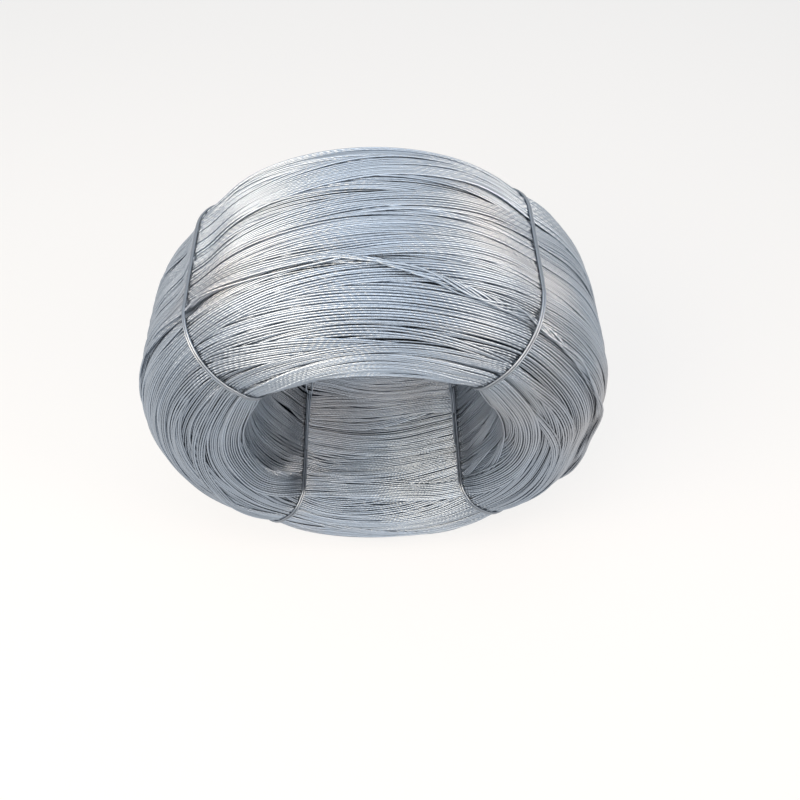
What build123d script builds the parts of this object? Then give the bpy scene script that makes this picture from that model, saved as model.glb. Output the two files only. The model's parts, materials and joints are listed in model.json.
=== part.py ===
from build123d import *
from math import cos, radians, sin, tan
import os

# A coil of drawn stainless steel wire, standing on its rim, held by four ties of the same wire.
# Millimetres. The axis of the coil is Y, its front end faces -Y, up is +Z and the origin is the
# centre of the bore.

# The coil
bore_radius = 150.0
outer_radius = 280.0
coil_width = 267.0
inner_corner = 36.0
end_flat = 13.0
crown_rise = 3.0

# The turns lie in bundles, which show as bands on the ends, the shoulders and the outer wall
band_pitch = 36.0
band_height = 3.5
crest_share = 0.4

# The wire, which the ties are made of too, and the room that it leaves at what it lies on
wire_diameter = 2.5
clearance = 0.25

# How far a tie pulls the bundle in, and the corners and sides of the valley that it makes
bore_pinch = 9.5
end_pinch = 4.0
outer_pinch = 4.0
inner_ease = 6.0
valley_reach = 16.0
valley_slope = 40.0

# The waist that a tie draws in over the ends and the outer wall, far wider than its valley
waist_half = 80.0
waist_slope = 4.0

# The ties: degrees round the coil from its top, clockwise as seen from the front
tie_angles = {
    "tie_upper_left": -46.0,
    "tie_upper_right": 38.5,
    "tie_lower_left": -143.5,
    "tie_lower_right": 135.5,
}

# The joint of a tie: the eye of the hairpin and the two tails that are folded back over it
joint_place = 45.0
eye_length = 38.0
eye_half_width = 5.0
eye_spread = 12.0
eye_lift = 12.0
eye_corner = 2.0
tail_fall = 3.0
tail_drop = 14.0
first_tail = 45.0
second_tail = 92.0

# Round stretches are made of short straight ones, so that the coil and its ties stay light
corner_steps = 4
inner_corner_steps = 3
wire_sides = 6


def bend(x, y, radius, start, turn, steps):
    """Corner points of a bend about x, y whose sides all lie at the radius from that point."""
    half_step = turn / steps / 2
    reach = radius / cos(radians(half_step))
    angles = [radians(start + half_step * (2 * step + 1)) for step in range(steps)]
    return [(x + reach * cos(angle), y + reach * sin(angle)) for angle in angles]


def tie_plane(angle):
    """The plane of a tie: x runs out from the axis of the coil and y along it."""
    turn = radians(angle)
    return Plane(
        origin=(0, 0, 0),
        x_dir=(sin(turn), 0, cos(turn)),
        z_dir=(-cos(turn), 0, sin(turn)),
    )


def across(wire, angle):
    """The plane across the start of a wire, with its y pointing away from the bundle."""
    return Plane(origin=wire @ 0, x_dir=tie_plane(angle).z_dir, z_dir=wire % 0)


# The section of the coil: the guide of the bands runs from one end over the outer wall
half_width = coil_width / 2
shoulder_radius = outer_radius - crown_rise
bore_bend = bore_radius + inner_corner
outer_bend = bore_bend + end_flat
outer_corner = shoulder_radius - outer_bend
crown_half = half_width - outer_corner

with BuildLine(Plane.XY) as outer_guide:
    RadiusArc((outer_bend, half_width), (shoulder_radius, crown_half), outer_corner)
    ThreePointArc((shoulder_radius, crown_half), (outer_radius, 0), (shoulder_radius, -crown_half))
    RadiusArc((shoulder_radius, -crown_half), (outer_bend, -half_width), outer_corner)
guide = outer_guide.wire()
band_count = round(guide.length / band_pitch)


def band_point(place, sink):
    """A point at a place along the guide, counted in bands, and sunk below it."""
    share = place / band_count
    along = guide % share
    return (guide @ share) + Vector(along.Y, -along.X) * sink


band_points = []
for band in range(band_count):
    band_points += [
        band_point(band, band_height),
        band_point(band + (1 - crest_share) / 2, 0),
        band_point(band + (1 + crest_share) / 2, 0),
    ]
band_points.append(band_point(band_count, band_height))

# The floor of a valley, and the rounded rectangle that a tie follows outside it
floor_bore = bore_radius + bore_pinch
floor_outer = shoulder_radius - outer_pinch
floor_end = half_width - end_pinch
inner_floor_corner = inner_corner - inner_ease
outer_floor_corner = outer_corner - outer_pinch
seat = clearance + wire_diameter / 2
layer = wire_diameter + clearance
eye_edge = eye_half_width + wire_diameter / 2
floor_half = eye_edge + clearance
reach_half = floor_half + valley_reach / tan(radians(valley_slope))
waist_rise = (waist_half - floor_half) * tan(radians(waist_slope))


def around(gap):
    """Points round the bundle at a gap from the floor, from the bore over the front end."""
    inner_x, inner_y = floor_bore + inner_floor_corner, floor_end - inner_floor_corner
    outer_x, outer_y = floor_outer - outer_floor_corner, floor_end - outer_floor_corner
    inner, outer = inner_floor_corner + gap, outer_floor_corner + gap
    return (
        bend(inner_x, -inner_y, inner, 180, 90, corner_steps)
        + bend(outer_x, -outer_y, outer, 270, 90, corner_steps)
        + bend(outer_x, outer_y, outer, 0, 90, corner_steps)
        + bend(inner_x, inner_y, inner, 90, 90, corner_steps)
    )


with BuildPart() as coil:
    with BuildSketch(Plane.XY):
        with BuildLine():
            Polyline(
                (outer_bend, half_width),
                *band_points,
                (outer_bend, -half_width),
                *bend(bore_bend, -half_width + inner_corner, inner_corner, 270, -90, inner_corner_steps),
                *bend(bore_bend, half_width - inner_corner, inner_corner, 180, -90, inner_corner_steps),
                close=True,
            )
        make_face()
    revolve(axis=Axis.Y)
    for angle in tie_angles.values():
        corners = around(0)
        loop = [(floor_bore, 0), *corners, (floor_bore, 0)]
        outside = corners[corner_steps:-corner_steps]
        run = [(bore_radius, -floor_end), *outside, (bore_radius, floor_end)]
        for path, half, rise in ((loop, reach_half, valley_reach), (run, waist_half, waist_rise)):
            with BuildLine(tie_plane(angle)) as valley:
                Polyline(*path)
            with BuildSketch(across(valley.wire(), angle)):
                Polygon(
                    (-floor_half, 0),
                    (floor_half, 0),
                    (half, rise),
                    (0, 2 * valley_reach),
                    (-half, rise),
                    align=None,
                )
            sweep(path=valley.wire(), transition=Transition.RIGHT, mode=Mode.SUBTRACT)
coil.part.label = "wire_coil"
os.makedirs("parts", exist_ok=True)
export_step(coil.part, "parts/wire_coil.step")

# A tie is one hairpin of wire. Its two strands run side by side from the folded tails, round the
# section and back into the bore, where they spread and close as the eye that the tails come
# through. A row of points is the radius from the axis, the place along it and the half spread.
run_bore = floor_bore - seat
over_run = run_bore - layer
over_eye = over_run - layer
strand = layer / 2


def strand_points(tail_length):
    """The points of one strand from the cut end of its tail to the middle of the eye."""
    tail = [
        (over_run, joint_place - tail_length),
        (over_run, joint_place - tail_drop),
        (over_eye, joint_place - tail_fall),
    ]
    fold = bend(over_run, joint_place, layer, 180, -180, corner_steps)
    eye = [
        (run_bore, joint_place + eye_length, eye_half_width),
        (run_bore, joint_place + eye_lift, eye_half_width),
        (over_run, joint_place + eye_corner, eye_half_width),
        (over_run, joint_place, eye_half_width - eye_corner),
    ]
    spread = (run_bore, joint_place + eye_length + eye_spread)
    return [(x, y, strand) for x, y in tail + fold + around(seat) + [spread]] + eye


for name, angle in tie_angles.items():
    first = strand_points(first_tail)
    second = [(x, y, -z) for x, y, z in strand_points(second_tail)]
    with BuildPart() as tie:
        with BuildLine(tie_plane(angle)) as hairpin:
            Polyline(*first, *reversed(second))
        with BuildSketch(across(hairpin.wire(), angle)):
            RegularPolygon(wire_diameter / 2, wire_sides)
        sweep(path=hairpin.wire(), transition=Transition.RIGHT)
    tie.part.label = name
    export_step(tie.part, f"parts/{name}.step")
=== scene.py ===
import json
from math import cos, pi, radians, sin

import bmesh
import bpy
import numpy as np
from mathutils import Matrix, Vector


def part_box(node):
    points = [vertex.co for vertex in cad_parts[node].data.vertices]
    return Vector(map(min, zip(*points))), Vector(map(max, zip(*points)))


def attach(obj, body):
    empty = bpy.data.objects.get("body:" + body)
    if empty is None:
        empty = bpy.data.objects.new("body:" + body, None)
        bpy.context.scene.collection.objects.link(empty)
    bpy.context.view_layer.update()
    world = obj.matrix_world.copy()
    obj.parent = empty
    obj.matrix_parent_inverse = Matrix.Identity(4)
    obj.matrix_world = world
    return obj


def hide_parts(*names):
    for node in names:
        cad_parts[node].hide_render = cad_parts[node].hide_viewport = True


bl_info = {
    "name": "Wire Coil",
    "version": (1, 0, 0),
    "blender": (4, 5, 0),
    "location": "View3D > Sidebar > Wire Coil",
    "description": "Winds, ties and lights a coil of drawn stainless steel wire",
    "category": "Add Mesh",
}

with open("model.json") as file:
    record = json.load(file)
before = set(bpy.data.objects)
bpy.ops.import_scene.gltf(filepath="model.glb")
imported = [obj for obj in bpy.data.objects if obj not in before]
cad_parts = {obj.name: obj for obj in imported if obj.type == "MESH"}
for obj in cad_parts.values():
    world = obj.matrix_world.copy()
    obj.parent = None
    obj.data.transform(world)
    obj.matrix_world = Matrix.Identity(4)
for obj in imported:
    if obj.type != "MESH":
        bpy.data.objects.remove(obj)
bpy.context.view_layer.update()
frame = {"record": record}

# Sizes are in millimetres until a piece is made, and MM turns them to metres.
# The axis of the coil is Y, its front end faces -Y, and angles round it run clockwise from the top.
MM = 0.001
BODY = "root"
MOUNTS = {mount["name"]: mount for mount in frame["record"]["mounts"]}
BORE_RADIUS = MOUNTS["bore"]["dims"]["r_mm"]
OUTER_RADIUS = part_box("wire_coil")[1].x / MM
HALF_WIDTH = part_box("wire_coil")[1].y / MM
FLOOR_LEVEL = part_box("wire_coil")[0].z / MM
TIES = ("tie_upper_left", "tie_upper_right", "tie_lower_right", "tie_lower_left")

# The section of the bundle, free between the ties and pinched under one
INNER_CORNER = 36.0
END_FLAT = 13.0
CROWN_RISE = 3.0
BORE_PINCH = 9.5
END_PINCH = 4.0
OUTER_PINCH = 4.0
INNER_EASE = 6.0
OUTER_CORNER = OUTER_RADIUS - CROWN_RISE - BORE_RADIUS - INNER_CORNER - END_FLAT

# How far along the ring a tie pulls the outer wall and the bore in, in degrees
OUTER_PULL = 12.0
BORE_PULL = 9.0
GRIP = 5.0

# How far turns lie in the grooves of those below: 1 is on top of them
NESTING = 0.6

# The grid on which the turns are laid: places round the ring, and cells along the section
PLACES = 128
CELL = 0.3
SECTION_POINTS = 1024

# How a turn lies: the cells that it covers beside its middle, how often it is bridged over what
# stands up under it, and how far its height is then eased, in places
COVERED = 3
BRIDGES = 3
EASE = 0.8

# How a bundle finds its course: the cells between tries, and the steps in which it slips into dips
TRY_CELLS = 12
SLIPS = 12
SLIP = 6.0
SLIP_EASE = 2.5

# How the laid turns are sunk into the outline: how far the mean level and the peaks are blurred,
# the share of the surface that lies under the outline, and the play above it
LEVEL_REACH = 9.0
PEAK_REACH = 4.0
PEAK_CELLS = 12
SUNK_SHARE = 96
PLAY = 1.5

# A piece stays under 200,000 triangles, and a turn is so many sided in each layer
MOST_TRIANGLES = 199000
SIDES = {"under": 4, "bundle": 6}


def tie_angle(name):
    """Where a tie stands round the ring, in degrees, from the place of its CAD node."""
    low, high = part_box(name)
    middle = (low + high) / 2
    return float(np.degrees(np.arctan2(middle.x, middle.z)))


def section(bore, outer, half, inner_corner, outer_corner, crown, count):
    """Points, evenly spaced round a section from the middle of the bore, and their outward normals."""
    shoulder = outer - crown
    quarter = np.linspace(0, pi / 2, 60)
    inner_x, inner_y = bore + inner_corner, half - inner_corner
    outer_x, outer_y = shoulder - outer_corner, half - outer_corner
    crown_radius = (outer_y**2 + crown**2) / (2 * crown) if crown > 0 else 0
    bore_run = np.stack([np.full(40, bore), np.linspace(0, -inner_y, 40)], 1)
    inner_bend = np.stack(
        [inner_x - inner_corner * np.cos(quarter), -inner_y - inner_corner * np.sin(quarter)], 1
    )
    outer_bend = np.stack(
        [outer_x + outer_corner * np.sin(quarter), -outer_y - outer_corner * np.cos(quarter)], 1
    )
    wall_y = np.linspace(-outer_y, 0, 40)
    if crown > 0:
        wall_x = outer - crown_radius + np.sqrt(crown_radius**2 - wall_y**2)
    else:
        wall_x = np.full(40, shoulder)
    front = np.concatenate([bore_run, inner_bend, outer_bend, np.stack([wall_x, wall_y], 1)])
    back = front[::-1] * (1, -1)
    loop = np.concatenate([front, back[1:]])
    steps = np.hypot(*np.diff(loop, axis=0).T)
    keep = np.concatenate([[True], steps > 1e-6])
    loop = loop[keep]
    along = np.concatenate([[0], np.cumsum(np.hypot(*np.diff(loop, axis=0).T))])
    wanted = np.arange(count) / count * along[-1]
    points = np.stack([np.interp(wanted, along, loop[:, k]) for k in (0, 1)], 1)
    tangents = np.roll(points, -1, 0) - np.roll(points, 1, 0)
    tangents /= np.hypot(*tangents.T)[:, None]
    normals = np.stack([tangents[:, 1], -tangents[:, 0]], 1)
    return points, normals, along[-1]


FREE = section(
    BORE_RADIUS,
    OUTER_RADIUS,
    HALF_WIDTH,
    INNER_CORNER,
    OUTER_CORNER,
    CROWN_RISE,
    SECTION_POINTS,
)
GIRTH = FREE[2]
CELLS = int(GIRTH / CELL)
PINCHED = section(
    BORE_RADIUS + BORE_PINCH,
    OUTER_RADIUS - CROWN_RISE - OUTER_PINCH,
    HALF_WIDTH - END_PINCH,
    INNER_CORNER - INNER_EASE,
    OUTER_CORNER - OUTER_PINCH,
    0,
    SECTION_POINTS,
)
TIE_ANGLES = {name: tie_angle(name) for name in TIES}
ROUND = np.arange(PLACES) * 2 * pi / PLACES


def bell(apart, reach):
    """A smooth hump that is 1 in its middle and fades out over its reach."""
    return np.exp(-((apart / reach) ** 2))


def degrees_apart(angles, middle):
    """How far angles round the ring, in radians, lie from a middle in degrees, the short way."""
    return (np.degrees(angles) - middle + 180) % 360 - 180


def girth_apart(along, middle):
    """How far places along the section lie from a middle, the short way round."""
    return (np.asarray(along) - middle + GIRTH / 2) % GIRTH - GIRTH / 2


def pull(angles, spread):
    """How strongly the nearest tie holds the bundle at each angle round the ring, from 0 to 1."""
    held = np.zeros_like(angles)
    for tie in TIE_ANGLES.values():
        held = np.maximum(held, bell(degrees_apart(angles, tie), spread))
    return held


def wrap_read(table, place):
    """Rows of a closed table read at fractional places."""
    place = np.mod(place, len(table))
    low = np.floor(place).astype(int) % len(table)
    share = (place - np.floor(place))[:, None]
    return table[low] * (1 - share) + table[(low + 1) % len(table)] * share


def bundle_points(angles, along, lift):
    """Points at angles round the ring, at places along the section, lifted off its outline."""
    place = np.asarray(along) / GIRTH * SECTION_POINTS
    free_point, free_normal = wrap_read(FREE[0], place), wrap_read(FREE[1], place)
    tied_point, tied_normal = wrap_read(PINCHED[0], place), wrap_read(PINCHED[1], place)
    depth = np.clip((free_point[:, 0] - BORE_RADIUS) / (OUTER_RADIUS - BORE_RADIUS), 0, 1)
    held = pull(angles, BORE_PULL) * (1 - depth) + pull(angles, OUTER_PULL) * depth
    point = free_point + (tied_point - free_point) * held[:, None]
    normal = free_normal + (tied_normal - free_normal) * held[:, None]
    spot = point + normal * np.asarray(lift)[:, None]
    x, z = spot[:, 0] * np.sin(angles), spot[:, 0] * np.cos(angles)
    return np.stack([x, spot[:, 1], z], 1)


def ring_blur(values, spread):
    """Smooths values round the ring with a bell of that spread, in places."""
    reach = int(3 * spread) + 1
    steps = np.arange(-reach, reach + 1)
    weights = np.exp(-0.5 * (steps / spread) ** 2)
    weights /= weights.sum()
    return sum(w * np.roll(values, s, axis=0) for s, w in zip(steps, weights))


def soften(surface, across, round_ring):
    """Blurs a table that is closed both ways, with bells of those spreads in cells and places."""
    rows = np.fft.fftfreq(surface.shape[0])[:, None]
    columns = np.fft.fftfreq(surface.shape[1])[None, :]
    weights = np.exp(-2 * pi**2 * ((rows * round_ring) ** 2 + (columns * across) ** 2))
    return np.real(np.fft.ifft2(np.fft.fft2(surface) * weights))


class Winding:
    """The heights of the bundle above its packed core while turns are laid on it one by one."""

    def __init__(self, radius):
        self.radius = radius
        self.surface = np.zeros((PLACES, CELLS))
        self.turns = []
        self.reach = np.arange(-COVERED, COVERED + 1)
        self.arch = np.sqrt(np.maximum(radius**2 - (self.reach * CELL) ** 2, 0.0))
        self.rows = np.arange(PLACES)[:, None]

    def lay(self, along, stiffness, kind):
        """Lays one closed turn along a path and keeps it with the height of its middle."""
        cells = (np.rint(along / CELL).astype(int)[:, None] + self.reach) % CELLS
        under = self.surface[self.rows, cells]
        height = (under + self.arch).max(1)
        for _ in range(BRIDGES):
            height = np.maximum(height, ring_blur(height, stiffness))
        height = ring_blur(height, EASE)
        self.surface[self.rows, cells] = np.maximum(under, height[:, None] + self.arch)
        self.turns.append((np.asarray(along), height, kind))

    def lowest_course(self, course, half_width):
        """Moves a course to where the bundle is lowest, and lets it slip into the dips there."""
        level = soften(self.surface, half_width / CELL, 1.0)
        rise = np.roll(level, -COVERED, axis=1) - np.roll(level, COVERED, axis=1)
        slope = rise / (2 * COVERED * CELL)
        cells = np.rint(course / CELL).astype(int)
        shifts = np.arange(0, CELLS, TRY_CELLS)
        rows = np.arange(PLACES)
        heights = [level[rows, (cells + shift) % CELLS].mean() for shift in shifts]
        course = course + shifts[int(np.argmin(heights))] * CELL
        for _ in range(SLIPS):
            cells = np.rint(course / CELL).astype(int) % CELLS
            course = ring_blur(course - SLIP * slope[rows, cells], SLIP_EASE)
        return course


def wander(random, sizes):
    """A slow wave round the ring: one random sine for each size, of 1, 2, 3 ... swings a turn."""
    wave = np.zeros(PLACES)
    for swings, size in enumerate(sizes, 1):
        wave += random.normal(0, size) * np.sin(swings * ROUND + random.uniform(0, 2 * pi))
    return wave


class WireCoilSettings(bpy.types.PropertyGroup):
    """Sizes and colours of the coil."""

    wire_diameter: bpy.props.FloatProperty(
        name="Wire Diameter", description="Diameter of the drawn wire, in millimetres", default=2.5
    )
    under_turns: bpy.props.IntProperty(
        name="Under Turns", description="Turns of the even layer under the bundles", default=250
    )
    bundles: bpy.props.IntProperty(
        name="Bundles", description="Loose bundles of turns laid over that layer", default=46
    )
    seed: bpy.props.IntProperty(name="Seed", description="Seed of the wandering turns", default=7)
    ripples: bpy.props.IntProperty(
        name="Ripples", description="Slight waves of the wire in one turn", default=210
    )
    wire_colour: bpy.props.StringProperty(
        name="Wire Colour", description="Drawn stainless steel, sRGB hex", default="#A1ABB7"
    )
    warm_colour: bpy.props.StringProperty(
        name="Warm Colour", description="The steel where its cast is warmer", default="#ACADB1"
    )
    tie_colour: bpy.props.StringProperty(
        name="Tie Colour", description="The wire of the ties, sRGB hex", default="#8E959E"
    )
    # The core's colour is painted shade: the same steel as the outer turns, darkened for the gaps
    painted_shade_core_colour: bpy.props.StringProperty(
        name="Core Colour", description="Steel deep in the gaps, sRGB hex", default="#565E69"
    )


class StageSettings(bpy.types.PropertyGroup):
    """The floor, the lights and the camera."""

    floor_colour: bpy.props.StringProperty(
        name="Floor Colour", description="Pale studio floor, sRGB hex", default="#E8E9EB"
    )
    floor_glow: bpy.props.FloatProperty(
        name="Floor Glow",
        description="How far the floor shows as plain white to the camera and to reflections",
        default=0.75,
    )
    camera_distance: bpy.props.FloatProperty(
        name="Camera Distance", description="From the middle of the coil", default=1.0203, unit="LENGTH"
    )
    camera_elevation: bpy.props.FloatProperty(
        name="Camera Elevation", description="Degrees above the axis of the coil", default=54.25
    )


def linear(code):
    """A colour written as an sRGB hex value, as linear red, green, blue and alpha."""
    channels = [int(code[i : i + 2], 16) / 255 for i in (1, 3, 5)]
    return [c / 12.92 if c <= 0.04045 else ((c + 0.055) / 1.055) ** 2.4 for c in channels] + [1.0]


def add_node(tree, kind, settings=None, links=None):
    """A new node with its settings, its inputs' values and the sockets that feed them."""
    node = tree.nodes.new(kind)
    for key, value in (settings or {}).items():
        if isinstance(key, str) and hasattr(node, key):
            setattr(node, key, value)
        else:
            node.inputs[key].default_value = value
    for key, socket in (links or {}).items():
        tree.links.new(socket, node.inputs[key])
    return node


def new_material(name):
    """An empty node material and its tree."""
    material = bpy.data.materials.new(name)
    material.use_nodes = True
    material.node_tree.nodes.clear()
    return material, material.node_tree


def drawn_wire_material(name, colour, warm_colour, waves):
    """Stainless steel drawn through a die and left bright: a satin metal with a cool and a warm
    cast, whose glints are broken by slight kinks and by the ripple of the straightening rolls.
    The noise scales are cells in a metre: kinks 7.7 mm apart, patches 45 mm and casts 200 mm."""
    kink_scale, patch_scale, cast_scale = 130.0, 22.0, 5.0
    # Puts neighbouring wires far apart in the noise, so that each has kinks of its own
    noise_step = 40.0
    # How far the ripple drifts out of step along a wire, and its height beside the kinks
    ripple_drift, ripple_height = 6.0, 0.2
    material, tree = new_material(name)
    strand = add_node(tree, "ShaderNodeAttribute", {"attribute_name": "strand"})
    wire = add_node(tree, "ShaderNodeSeparateXYZ", links={"Vector": strand.outputs["Vector"]})
    place = add_node(tree, "ShaderNodeTexCoord")
    spot = add_node(tree, "ShaderNodeSeparateXYZ", links={"Vector": place.outputs["Object"]})
    apart = add_node(
        tree, "ShaderNodeMath", {"operation": "MULTIPLY", 1: noise_step}, {0: wire.outputs["X"]}
    )
    along = add_node(
        tree,
        "ShaderNodeCombineXYZ",
        links={"X": spot.outputs["X"], "Y": apart.outputs[0], "Z": spot.outputs["Z"]},
    )
    kinks = add_node(
        tree, "ShaderNodeTexNoise", {"Scale": kink_scale, "Detail": 1.0}, {"Vector": along.outputs[0]}
    )
    patches = add_node(
        tree,
        "ShaderNodeTexNoise",
        {"Scale": patch_scale, "Detail": 3.0},
        {"Vector": along.outputs[0]},
    )
    casts = add_node(
        tree,
        "ShaderNodeTexNoise",
        {"Scale": cast_scale, "Detail": 2.0},
        {"Vector": place.outputs["Object"]},
    )
    turned = add_node(
        tree,
        "ShaderNodeMath",
        {"operation": "ARCTAN2"},
        {0: spot.outputs["X"], 1: spot.outputs["Z"]},
    )
    swing = add_node(
        tree, "ShaderNodeMath", {"operation": "MULTIPLY", 1: float(waves)}, {0: turned.outputs[0]}
    )
    phase = add_node(
        tree,
        "ShaderNodeMath",
        {"operation": "MULTIPLY_ADD", 1: 2 * pi},
        {0: wire.outputs["Y"], 2: swing.outputs[0]},
    )
    drift = add_node(
        tree,
        "ShaderNodeMath",
        {"operation": "MULTIPLY_ADD", 1: ripple_drift},
        {0: patches.outputs["Fac"], 2: phase.outputs[0]},
    )
    ripple = add_node(tree, "ShaderNodeMath", {"operation": "SINE"}, {0: drift.outputs[0]})
    height = add_node(
        tree,
        "ShaderNodeMath",
        {"operation": "MULTIPLY_ADD", 1: ripple_height},
        {0: ripple.outputs[0], 2: kinks.outputs["Fac"]},
    )
    tone = add_node(
        tree,
        "ShaderNodeMapRange",
        {"To Min": 0.84, "To Max": 1.08},
        {"Value": wire.outputs["X"]},
    )
    shade = add_node(
        tree, "ShaderNodeMapRange", {"To Min": 0.8, "To Max": 1.15}, {"Value": patches.outputs["Fac"]}
    )
    product = add_node(
        tree,
        "ShaderNodeMath",
        {"operation": "MULTIPLY"},
        {0: tone.outputs["Result"], 1: shade.outputs["Result"]},
    )
    warmth = add_node(
        tree,
        "ShaderNodeMapRange",
        {"From Min": 0.48, "From Max": 0.75},
        {"Value": casts.outputs["Fac"]},
    )
    cast = add_node(
        tree,
        "ShaderNodeMix",
        {"data_type": "RGBA", 6: linear(colour), 7: linear(warm_colour)},
        {0: warmth.outputs["Result"]},
    )
    tint = add_node(
        tree,
        "ShaderNodeVectorMath",
        {"operation": "SCALE"},
        {0: cast.outputs[2], "Scale": product.outputs[0]},
    )
    rough = add_node(
        tree, "ShaderNodeMapRange", {"To Min": 0.28, "To Max": 0.48}, {"Value": patches.outputs["Fac"]}
    )
    bump = add_node(
        tree,
        "ShaderNodeBump",
        {"Strength": 0.6, "Distance": 0.001},
        {"Height": height.outputs[0]},
    )
    shader = add_node(
        tree,
        "ShaderNodeBsdfPrincipled",
        {"Metallic": 1.0},
        {
            "Base Color": tint.outputs[0],
            "Roughness": rough.outputs["Result"],
            "Normal": bump.outputs["Normal"],
        },
    )
    add_node(tree, "ShaderNodeOutputMaterial", links={"Surface": shader.outputs["BSDF"]})
    return material


def shadowed_core_material(name, colour):
    """Drawn stainless steel deep in the coil, dull, and coloured dark as painted shade because little
    light reaches it.
    """
    material, tree = new_material(name)
    place = add_node(tree, "ShaderNodeTexCoord")
    grain = add_node(
        tree,
        "ShaderNodeTexNoise",
        {"Scale": 60.0, "Detail": 4.0},
        {"Vector": place.outputs["Object"]},
    )
    rough = add_node(
        tree, "ShaderNodeMapRange", {"To Min": 0.45, "To Max": 0.7}, {"Value": grain.outputs["Fac"]}
    )
    shader = add_node(
        tree,
        "ShaderNodeBsdfPrincipled",
        {"Base Color": linear(colour), "Metallic": 1.0},
        {"Roughness": rough.outputs["Result"]},
    )
    add_node(tree, "ShaderNodeOutputMaterial", links={"Surface": shader.outputs["BSDF"]})
    return material


def place_piece(name, mesh, material, *stands_for):
    """Puts a finished mesh in the scene as a piece of the object."""
    piece = bpy.data.objects.new(name, mesh)
    bpy.context.scene.collection.objects.link(piece)
    mesh.materials.clear()
    mesh.materials.append(material)
    mesh.polygons.foreach_set("use_smooth", [True] * len(mesh.polygons))
    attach(piece, BODY)
    if stands_for:
        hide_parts(*stands_for)
    return piece


def set_order(parts, place):
    """Puts the parts of a shape in order of their places, which the spin leaves open."""
    by_place = sorted(parts, key=lambda part: tuple(round(c, 6) for c in place(part)))
    for index, part in enumerate(by_place):
        part.index = index
    parts.sort()


def wire_mesh(name, paths, tones, radius, sides, closed):
    """A mesh of round wires along rows of points, each with its tone and its place in the order."""
    curve = bpy.data.curves.new(name, "CURVE")
    curve.dimensions = "3D"
    curve.bevel_depth = radius * MM
    curve.bevel_resolution = (sides - 4) // 2
    curve.use_fill_caps = not closed
    for path in paths:
        spline = curve.splines.new("POLY")
        spline.points.add(len(path) - 1)
        flat = np.ones((len(path), 4))
        flat[:, :3] = path * MM
        spline.points.foreach_set("co", flat.ravel())
        spline.use_cyclic_u = closed
    carrier = bpy.data.objects.new(name, curve)
    mesh = bpy.data.meshes.new_from_object(carrier)
    mesh.name = name
    bpy.data.objects.remove(carrier)
    bpy.data.curves.remove(curve)
    values = np.zeros((len(mesh.vertices), 3), np.float32)
    values[:, :2] = tones[0]
    if closed:
        values[:, :2] = np.repeat(np.asarray(tones, np.float32), len(paths[0]) * sides, axis=0)
    strand = mesh.attributes.new("strand", "FLOAT_VECTOR", "POINT")
    strand.data.foreach_set("vector", values.ravel())
    return mesh


class WIRECOIL_OT_packed_core(bpy.types.Operator):
    """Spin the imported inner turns, which only show as dark gaps between the outer ones"""

    bl_idname = "wirecoil.packed_core"
    bl_label = "Packed Core"

    def execute(self, context):
        inset = 24.0
        steps = 96
        core = section(
            BORE_RADIUS + inset,
            OUTER_RADIUS - inset,
            HALF_WIDTH - inset,
            INNER_CORNER - inset / 2,
            OUTER_CORNER - inset,
            0,
            48,
        )[0]
        shape = bmesh.new()
        loop = [shape.verts.new((x * MM, y * MM, 0)) for x, y in core]
        edges = [shape.edges.new((a, b)) for a, b in zip(loop, loop[1:] + loop[:1])]
        bmesh.ops.spin(
            shape,
            geom=loop + edges,
            cent=(0, 0, 0),
            axis=(0, 1, 0),
            angle=2 * pi,
            steps=steps,
            use_merge=True,
        )
        set_order(shape.verts, lambda vert: vert.co)
        set_order(shape.faces, lambda face: face.calc_center_median())
        bmesh.ops.recalc_face_normals(shape, faces=shape.faces)
        mesh = bpy.data.meshes.new("packed_core")
        shape.to_mesh(mesh)
        shape.free()
        settings = context.scene.wire_coil
        # The core's dark colour is painted shade in the gaps between the outer turns
        material = shadowed_core_material("Shadowed Steel Core", settings.painted_shade_core_colour)
        place_piece("packed_core", mesh, material)
        return {"FINISHED"}


# Courses of the bundles that stand out, as degrees round the ring and places along the section
BACK_BUNDLE = (
    (-180, 352), (-100, 358), (-43, 380), (-28, 380), (-16, 391), (-10, 394), (1, 404),
    (20, 412), (50, 402), (100, 380), (150, 360),
)
CROSSING_BUNDLE = (
    (-180, 292), (-120, 286), (-60, 280), (-30, 278), (-3, 276), (6, 262), (16, 251),
    (26, 244), (35, 243), (60, 232), (100, 240), (140, 270),
)
# The twist opens out over one stretch of the ring, and winds so often in a turn
TWIST_MIDDLE = 26
TWIST_REACH = 30
TWIST_SWING = 0.7
TWIST_OPENING = 0.9
TWIST_WINDS = 16
COVER_BUNDLE = (
    (-180, 300), (-120, 306), (-80, 300), (-46, 292), (-25, 284), (-10, 283), (0, 288),
    (12, 297), (30, 304), (60, 300), (100, 290), (140, 294),
)
# Where the bundle sags: degrees round the ring and their reach, the place along the section
# and its reach, and how deep it is
SAGS = (
    (-52, 13, 385, 85, -11),
    (93, 14, 228, 70, -9),
)
# The hollow in the bore wall behind the front lip, steep towards the lip and gentle behind, and
# the rise of the lip in front of it
LIP_HOLLOW = (
    (-180, 60), (-157, 68), (-142, 81), (-118, 101), (-105, 101), (-71, 109), (-40, 114),
    (30, 74), (120, 60),
)
LIP_HOLLOW_MIDDLE = -126
LIP_HOLLOW_REACH = 50
LIP_HOLLOW_DEPTH = 14
LIP_HOLLOW_STEP = 6
LIP_HOLLOW_SLOPE = 26
LIP_RISE = 4.5
LIP_RISE_PLACE = 12
LIP_RISE_REACH = 9
LIP_BUNDLE = (
    (-180, 92), (-157, 95), (-142, 106), (-118, 126), (-105, 126), (-71, 134), (-30, 150),
    (0, 160), (60, 150), (100, 135), (140, 112),
)

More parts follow.
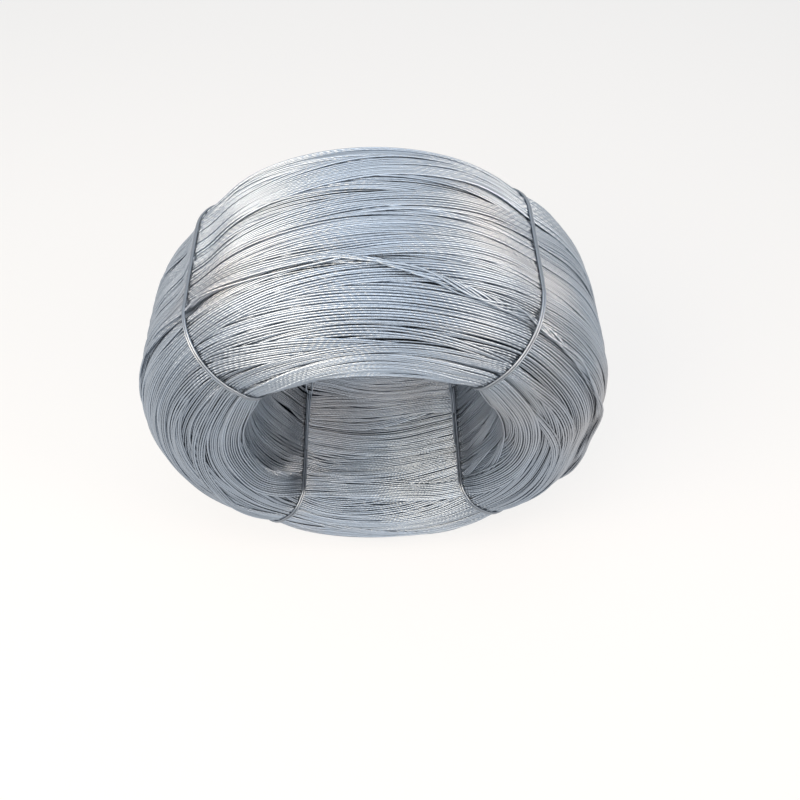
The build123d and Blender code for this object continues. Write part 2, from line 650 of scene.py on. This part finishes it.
# How far turns wander: one size for each number of swings in a turn
UNDER_SWAY = 2.5
UNDER_WANDER = (0.4, 0.3, 0.25, 0.2)
BUNDLE_WANDER = (14.0, 9.0, 6.0, 4.0, 2.5, 1.5)
BUNDLE_FEWEST, BUNDLE_MOST = 3, 10
SPACING = 1.06
SPACING_WANDER = (0.05, 0.04, 0.03, 0.03)
TURN_WANDER = (0.25, 0.22, 0.2, 0.18, 0.15, 0.12, 0.1)
TWIST_WANDER = (0.5, 0.4, 0.3)

# How far a turn bridges dips, in places round the ring
UNDER_STIFFNESS = 1.5
BUNDLE_STIFFNESS = 2.0
TWIST_STIFFNESS = 1.2

# How far the order of the wires advances with each, so that neighbours ripple out of step
ORDER_STEP = 0.31


def course_through(points):
    """A smooth closed course through a few points, read at every place round the ring."""
    angles, along = np.array(points, float).T
    course = np.interp(np.degrees(ROUND), angles, along, period=360)
    return ring_blur(course, 2.0)


def swell(along):
    """How far the free bundle stands out of its outline at places along the section."""
    out = np.zeros(PLACES)
    for angle, angle_reach, place, place_reach, depth in SAGS:
        apart, aside = degrees_apart(ROUND, angle), girth_apart(along, place)
        out += depth * bell(apart, angle_reach) * bell(aside, place_reach)
    apart = degrees_apart(ROUND, LIP_HOLLOW_MIDDLE)
    aside = girth_apart(along, course_through(LIP_HOLLOW))
    reach = np.where(aside > 0, LIP_HOLLOW_STEP, LIP_HOLLOW_SLOPE)
    hollow = LIP_HOLLOW_DEPTH * bell(aside, reach)
    free = bell(apart, LIP_HOLLOW_REACH) * (1 - pull(ROUND, BORE_PULL))
    out += free * (LIP_RISE * bell(aside - LIP_RISE_PLACE, LIP_RISE_REACH) - hollow)
    return out


class WIRECOIL_OT_turns(bpy.types.Operator):
    """Lay the outer turns one by one over the core, and squeeze them under the ties"""

    bl_idname = "wirecoil.turns"
    bl_label = "Turns"

    def execute(self, context):
        settings = context.scene.wire_coil
        random = np.random.RandomState(settings.seed)
        winding = Winding(settings.wire_diameter / 2)
        for turn in range(settings.under_turns):
            base = GIRTH * turn / settings.under_turns
            sway = UNDER_SWAY * np.sin(2 * ROUND + 7 * pi * turn / settings.under_turns)
            course = base + sway + wander(random, UNDER_WANDER)
            winding.lay(course, UNDER_STIFFNESS, "under")
        for _ in range(settings.bundles):
            course = wander(random, BUNDLE_WANDER)
            count = random.randint(BUNDLE_FEWEST, BUNDLE_MOST + 1)
            course = winding.lowest_course(course, count * settings.wire_diameter / 2.5)
            self.lay_bundle(settings, winding, random, course, count)
        self.lay_bundle(settings, winding, random, course_through(BACK_BUNDLE), 14)
        self.lay_bundle(settings, winding, random, course_through(LIP_BUNDLE), 11)
        self.lay_bundle(settings, winding, random, course_through(LIP_BUNDLE) + 4, 8)
        self.lay_twist(settings, winding, random, course_through(CROSSING_BUNDLE), 7)
        self.lay_bundle(settings, winding, random, course_through(COVER_BUNDLE), 10)
        self.make_pieces(settings, winding, random)
        return {"FINISHED"}

    def lay_bundle(self, settings, winding, random, course, count):
        """Lays turns side by side along a course, each with a little play of its own."""
        spacing = settings.wire_diameter * (SPACING + wander(random, SPACING_WANDER))
        order = np.arange(count) if random.uniform() < 0.5 else np.arange(count)[::-1]
        for turn in order:
            offset = (turn - (count - 1) / 2) * spacing
            loose = wander(random, TURN_WANDER)
            winding.lay(course + offset + loose, BUNDLE_STIFFNESS, "bundle")

    def lay_twist(self, settings, winding, random, course, count):
        """Lays turns that wind round each other like the strands of a loose rope."""
        for turn in range(count):
            phase = 2 * pi * turn / count
            opening = TWIST_OPENING * bell(degrees_apart(ROUND, TWIST_MIDDLE), TWIST_REACH)
            swing = (TWIST_SWING + opening) * np.sin(TWIST_WINDS * ROUND + phase)
            swing *= settings.wire_diameter
            loose = wander(random, TWIST_WANDER)
            winding.lay(course + swing + loose, TWIST_STIFFNESS, "bundle")

    def make_pieces(self, settings, winding, random):
        """Sinks the laid turns into the outline of the coil and makes their meshes."""
        surface = winding.surface
        level = soften(surface, LEVEL_REACH / CELL, 2.0)
        proud = np.percentile(surface - level, SUNK_SHARE)
        peaks = surface.copy()
        for step in range(-PEAK_CELLS, PEAK_CELLS + 1):
            peaks = np.maximum(peaks, np.roll(surface, step, axis=1))
        peaks = soften(peaks, PEAK_REACH / CELL, 0.5)
        grip = pull(ROUND, GRIP)
        rows = np.arange(PLACES)
        material = drawn_wire_material(
            "Drawn Stainless Wire", settings.wire_colour, settings.warm_colour, settings.ripples
        )
        groups = {}
        for along, height, kind in winding.turns:
            cells = np.rint(along / CELL).astype(int) % CELLS
            loose = (height - level[rows, cells] - proud) * NESTING
            loose += np.minimum(self.headroom(along), PLAY)
            loose += swell(along)
            tight = (height - peaks[rows, cells]) * NESTING
            path = bundle_points(ROUND, along, loose * (1 - grip) + tight * grip)
            groups.setdefault(kind, []).append(self.held_in(path, winding.radius))
        for kind, paths in groups.items():
            per_piece = MOST_TRIANGLES // (PLACES * SIDES[kind] * 2)
            order = ORDER_STEP * np.arange(len(paths))
            tones = np.stack([random.uniform(0, 1, len(paths)), order], 1)
            for number, start in enumerate(range(0, len(paths), per_piece), 1):
                chosen = slice(start, start + per_piece)
                name = f"{kind}_turns_{number}"
                mesh = wire_mesh(name, paths[chosen], tones[chosen], winding.radius, SIDES[kind], True)
                stands_for = ["wire_coil"] if kind == "bundle" and number == 1 else []
                place_piece(name, mesh, material, *stands_for)

    def headroom(self, along):
        """How far the outline lies within the box round the coil and clear of its bore."""
        spot = wrap_read(FREE[0], np.asarray(along) / GIRTH * SECTION_POINTS)
        within = np.minimum(OUTER_RADIUS - spot[:, 0], HALF_WIDTH - np.abs(spot[:, 1]))
        return np.minimum(within, spot[:, 0] - BORE_RADIUS)

    def held_in(self, path, radius):
        """Keeps a path where its wire stays within the coil, clear of its bore and off the floor."""
        out = np.hypot(path[:, 0], path[:, 2])
        chord = np.cos(pi / PLACES)
        held = np.clip(out, (BORE_RADIUS + radius) / chord, OUTER_RADIUS - radius) / out
        path[:, 0] *= held
        path[:, 2] *= held
        path[:, 1] = np.clip(path[:, 1], radius - HALF_WIDTH, HALF_WIDTH - radius)
        path[:, 2] = np.maximum(path[:, 2], FLOOR_LEVEL + radius)
        return path


def corner(centre_x, centre_y, radius, start, turn):
    """Points round a corner of a tie, in its own plane."""
    angles = np.radians(start + turn * np.linspace(0, 1, 12))
    return [(centre_x + radius * cos(a), centre_y + radius * sin(a)) for a in angles]


def rounded(points, rounds):
    """Cuts the corners of an open row of points again and again, and keeps its ends."""
    points = np.array(points, float)
    for _ in range(rounds):
        near = points[:-1] * 0.75 + points[1:] * 0.25
        far = points[:-1] * 0.25 + points[1:] * 0.75
        middle = np.stack([near, far], 1).reshape(-1, 3)
        points = np.concatenate([points[:1], middle, points[-1:]])
    return points


# The joint of a tie in the bore, where the tails fold over the eye of the hairpin: its place, how
# far the middle of a strand lies off the bundle, the step from one strand to the next, the lengths
# of the folded tails, and half the width of the eye
JOINT = 45.0
SEAT = 1.5
LAYER = 2.75
TAILS = (45.0, 92.0)
EYE_HALF = 5
TIE_SIDES = 8


class WIRECOIL_OT_ties(bpy.types.Operator):
    """Bend the four hairpin ties round the bundle, with their eyes and folded tails in the bore"""

    bl_idname = "wirecoil.ties"
    bl_label = "Ties"

    def execute(self, context):
        settings = context.scene.wire_coil
        material = drawn_wire_material(
            "Drawn Tie Wire", settings.tie_colour, settings.tie_colour, 0
        )
        for name, angle in TIE_ANGLES.items():
            first = self.strand(TAILS[0])
            second = [(x, y, -z) for x, y, z in self.strand(TAILS[1])]
            route = rounded(first + second[::-1], 3)
            turn = radians(angle)
            out = np.array((sin(turn), 0, cos(turn)))
            along = np.array((0, 1, 0))
            side = np.array((-cos(turn), 0, sin(turn)))
            path = route[:, :1] * out + route[:, 1:2] * along + route[:, 2:] * side
            radius = settings.wire_diameter / 2
            mesh = wire_mesh(name + "_wire", [path], [(0.5, 0.0)], radius, TIE_SIDES, False)
            place_piece(name + "_wire", mesh, material, name)
        return {"FINISHED"}

    def strand(self, tail):
        """One strand of the hairpin in the plane of its tie, from its cut end to its eye."""
        bore, outer = BORE_RADIUS + BORE_PINCH, OUTER_RADIUS - CROWN_RISE - OUTER_PINCH
        end = HALF_WIDTH - END_PINCH
        inner, wide = INNER_CORNER - INNER_EASE, OUTER_CORNER - OUTER_PINCH
        run = bore - SEAT
        over = run - LAYER
        inner_x, inner_y = bore + inner, end - inner
        wide_x, wide_y = outer - wide, end - wide
        flat = [(over, JOINT - tail), (over, JOINT - 14), (over - LAYER, JOINT - 3)]
        flat += corner(over, JOINT, LAYER, 180, -180)
        flat += corner(inner_x, -inner_y, inner + SEAT, 180, 90)
        flat += corner(wide_x, -wide_y, wide + SEAT, 270, 90)
        flat += corner(wide_x, wide_y, wide + SEAT, 0, 90)
        flat += corner(inner_x, inner_y, inner + SEAT, 90, 90)
        flat += [(run, JOINT + 50)]
        side = LAYER / 2
        eye = [(run, JOINT + 38, EYE_HALF), (run, JOINT + 12, EYE_HALF)]
        eye += [(over, JOINT + 2, EYE_HALF), (over, JOINT, 3)]
        return [(x, y, side) for x, y in flat] + eye


# Each lamp's name, size, place, watts and colour: warm from the sides, cool from front and above
WARM_LAMPS = (
    ("Warm Key", 1.3, (-1.05, -1.0, 1.4), 30.0, (1.0, 0.82, 0.62)),
    ("Left Light", 1.0, (-1.6, -0.5, 0.95), 15.0, (1.0, 0.84, 0.66)),
    ("Side Light", 1.0, (1.35, -0.6, 1.05), 19.0, (1.0, 0.83, 0.66)),
)
COOL_LAMPS = (
    ("Front Fill", 1.2, (0.15, -1.9, 1.0), 8.0, (0.82, 0.91, 1.0)),
    ("Sky", 1.8, (0.0, 0.2, 2.2), 15.0, (0.82, 0.91, 1.0)),
)
WHITE = (1.0, 1.0, 1.0, 1.0)
ROOM_COLOUR = (0.88, 0.94, 1.0, 1.0)
ROOM_STRENGTH = 0.12
FLOOR_RADIUS = 6.0

# The camera that fits the photograph, in pixels of a frame of that many across
FRAME_PIXELS = 800
FOCAL_PIXELS = 805.7
SHIFT_PIXELS = (25.5, -32.6)
CAMERA_AZIMUTH = -0.515
SENSOR_WIDTH = 36.0


class WIRECOIL_OT_stage(bpy.types.Operator):
    """Set the pale floor, the soft lights and the camera"""

    bl_idname = "wirecoil.stage"
    bl_label = "Stage"

    def execute(self, context):
        scene = context.scene
        stage = scene.wire_stage
        self.floor(stage)
        self.sky(scene)
        for lamp in WARM_LAMPS + COOL_LAMPS:
            self.lamp(*lamp)
        self.camera(scene, stage)
        scene.view_settings.view_transform = "Standard"
        return {"FINISHED"}

    def floor(self, stage):
        """A floor of matt background paper, which scatters light evenly and has no gloss."""
        shape = bmesh.new()
        bmesh.ops.create_circle(shape, cap_ends=True, segments=64, radius=FLOOR_RADIUS)
        bmesh.ops.translate(shape, verts=shape.verts, vec=(0, 0, FLOOR_LEVEL * MM))
        mesh = bpy.data.meshes.new("studio_floor")
        shape.to_mesh(mesh)
        shape.free()
        floor = bpy.data.objects.new("studio_floor", mesh)
        bpy.context.scene.collection.objects.link(floor)
        material, tree = new_material("Matt White Floor")
        paper = add_node(
            tree,
            "ShaderNodeBsdfPrincipled",
            {"Base Color": linear(stage.floor_colour), "Roughness": 0.9},
        )
        white = add_node(
            tree, "ShaderNodeEmission", {"Color": WHITE, "Strength": 1.0}
        )
        seen = add_node(
            tree,
            "ShaderNodeMath",
            {"operation": "MULTIPLY", 1: stage.floor_glow},
            {0: self.seen_directly(tree)},
        )
        both = add_node(
            tree,
            "ShaderNodeMixShader",
            links={0: seen.outputs[0], 1: paper.outputs["BSDF"], 2: white.outputs[0]},
        )
        add_node(tree, "ShaderNodeOutputMaterial", links={"Surface": both.outputs[0]})
        mesh.materials.append(material)

    def seen_directly(self, tree):
        """A socket that is 1 where the camera, a reflection or clear glass looks, otherwise 0."""
        ray = add_node(tree, "ShaderNodeLightPath")
        shiny = add_node(
            tree,
            "ShaderNodeMath",
            {"operation": "MAXIMUM"},
            {0: ray.outputs["Is Glossy Ray"], 1: ray.outputs["Is Transmission Ray"]},
        )
        seen = add_node(
            tree,
            "ShaderNodeMath",
            {"operation": "MAXIMUM"},
            {0: ray.outputs["Is Camera Ray"], 1: shiny.outputs[0]},
        )
        return seen.outputs[0]

    def sky(self, scene):
        """A pale blue room, which the camera and every reflection see as plain white."""
        world = bpy.data.worlds.new("Studio")
        world.use_nodes = True
        tree = world.node_tree
        tree.nodes.clear()
        room = add_node(
            tree, "ShaderNodeBackground", {"Color": ROOM_COLOUR, "Strength": ROOM_STRENGTH}
        )
        white = add_node(tree, "ShaderNodeBackground", {"Color": WHITE, "Strength": 1.0})
        either = add_node(
            tree,
            "ShaderNodeMixShader",
            links={0: self.seen_directly(tree), 1: room.outputs[0], 2: white.outputs[0]},
        )
        add_node(tree, "ShaderNodeOutputWorld", links={"Surface": either.outputs[0]})
        scene.world = world

    def lamp(self, name, size, place, watts, colour):
        data = bpy.data.lights.new(name, "AREA")
        data.shape = "DISK"
        data.size = size
        data.energy = watts
        data.color = colour
        lamp = bpy.data.objects.new(name, data)
        lamp.location = place
        lamp.rotation_euler = Vector(place).to_track_quat("Z", "Y").to_euler()
        bpy.context.scene.collection.objects.link(lamp)

    def camera(self, scene, stage):
        elevation, azimuth = radians(stage.camera_elevation), radians(CAMERA_AZIMUTH)
        back = Vector(
            (sin(azimuth) * cos(elevation), -cos(azimuth) * cos(elevation), sin(elevation))
        )
        data = bpy.data.cameras.new("Camera")
        camera = bpy.data.objects.new("Camera", data)
        scene.collection.objects.link(camera)
        turn = back.to_track_quat("Z", "Y").to_matrix().to_4x4()
        camera.matrix_world = Matrix.Translation(back * stage.camera_distance) @ turn
        data.sensor_width = SENSOR_WIDTH
        data.lens = SENSOR_WIDTH * FOCAL_PIXELS / FRAME_PIXELS
        data.shift_x = SHIFT_PIXELS[0] / FRAME_PIXELS
        data.shift_y = SHIFT_PIXELS[1] / FRAME_PIXELS
        data.clip_end = 20.0
        scene.camera = camera


class WIRECOIL_PT_panel(bpy.types.Panel):
    """The steps of the coil, in the order in which they run"""

    bl_idname = "WIRECOIL_PT_panel"
    bl_label = "Wire Coil"
    bl_space_type = "VIEW_3D"
    bl_region_type = "UI"
    bl_category = "Wire Coil"

    def draw(self, context):
        for operator in OPERATORS:
            self.layout.operator(operator.bl_idname)


OPERATORS = (WIRECOIL_OT_packed_core, WIRECOIL_OT_turns, WIRECOIL_OT_ties, WIRECOIL_OT_stage)
CLASSES = (WireCoilSettings, StageSettings, *OPERATORS, WIRECOIL_PT_panel)


def register():
    for entry in CLASSES:
        bpy.utils.register_class(entry)
    bpy.types.Scene.wire_coil = bpy.props.PointerProperty(type=WireCoilSettings)
    bpy.types.Scene.wire_stage = bpy.props.PointerProperty(type=StageSettings)


def unregister():
    del bpy.types.Scene.wire_stage
    del bpy.types.Scene.wire_coil
    for entry in reversed(CLASSES):
        bpy.utils.unregister_class(entry)


def main():
    register()
    bpy.ops.wirecoil.packed_core()
    bpy.ops.wirecoil.turns()
    bpy.ops.wirecoil.ties()
    bpy.ops.wirecoil.stage()


if __name__ == "__main__":
    main()
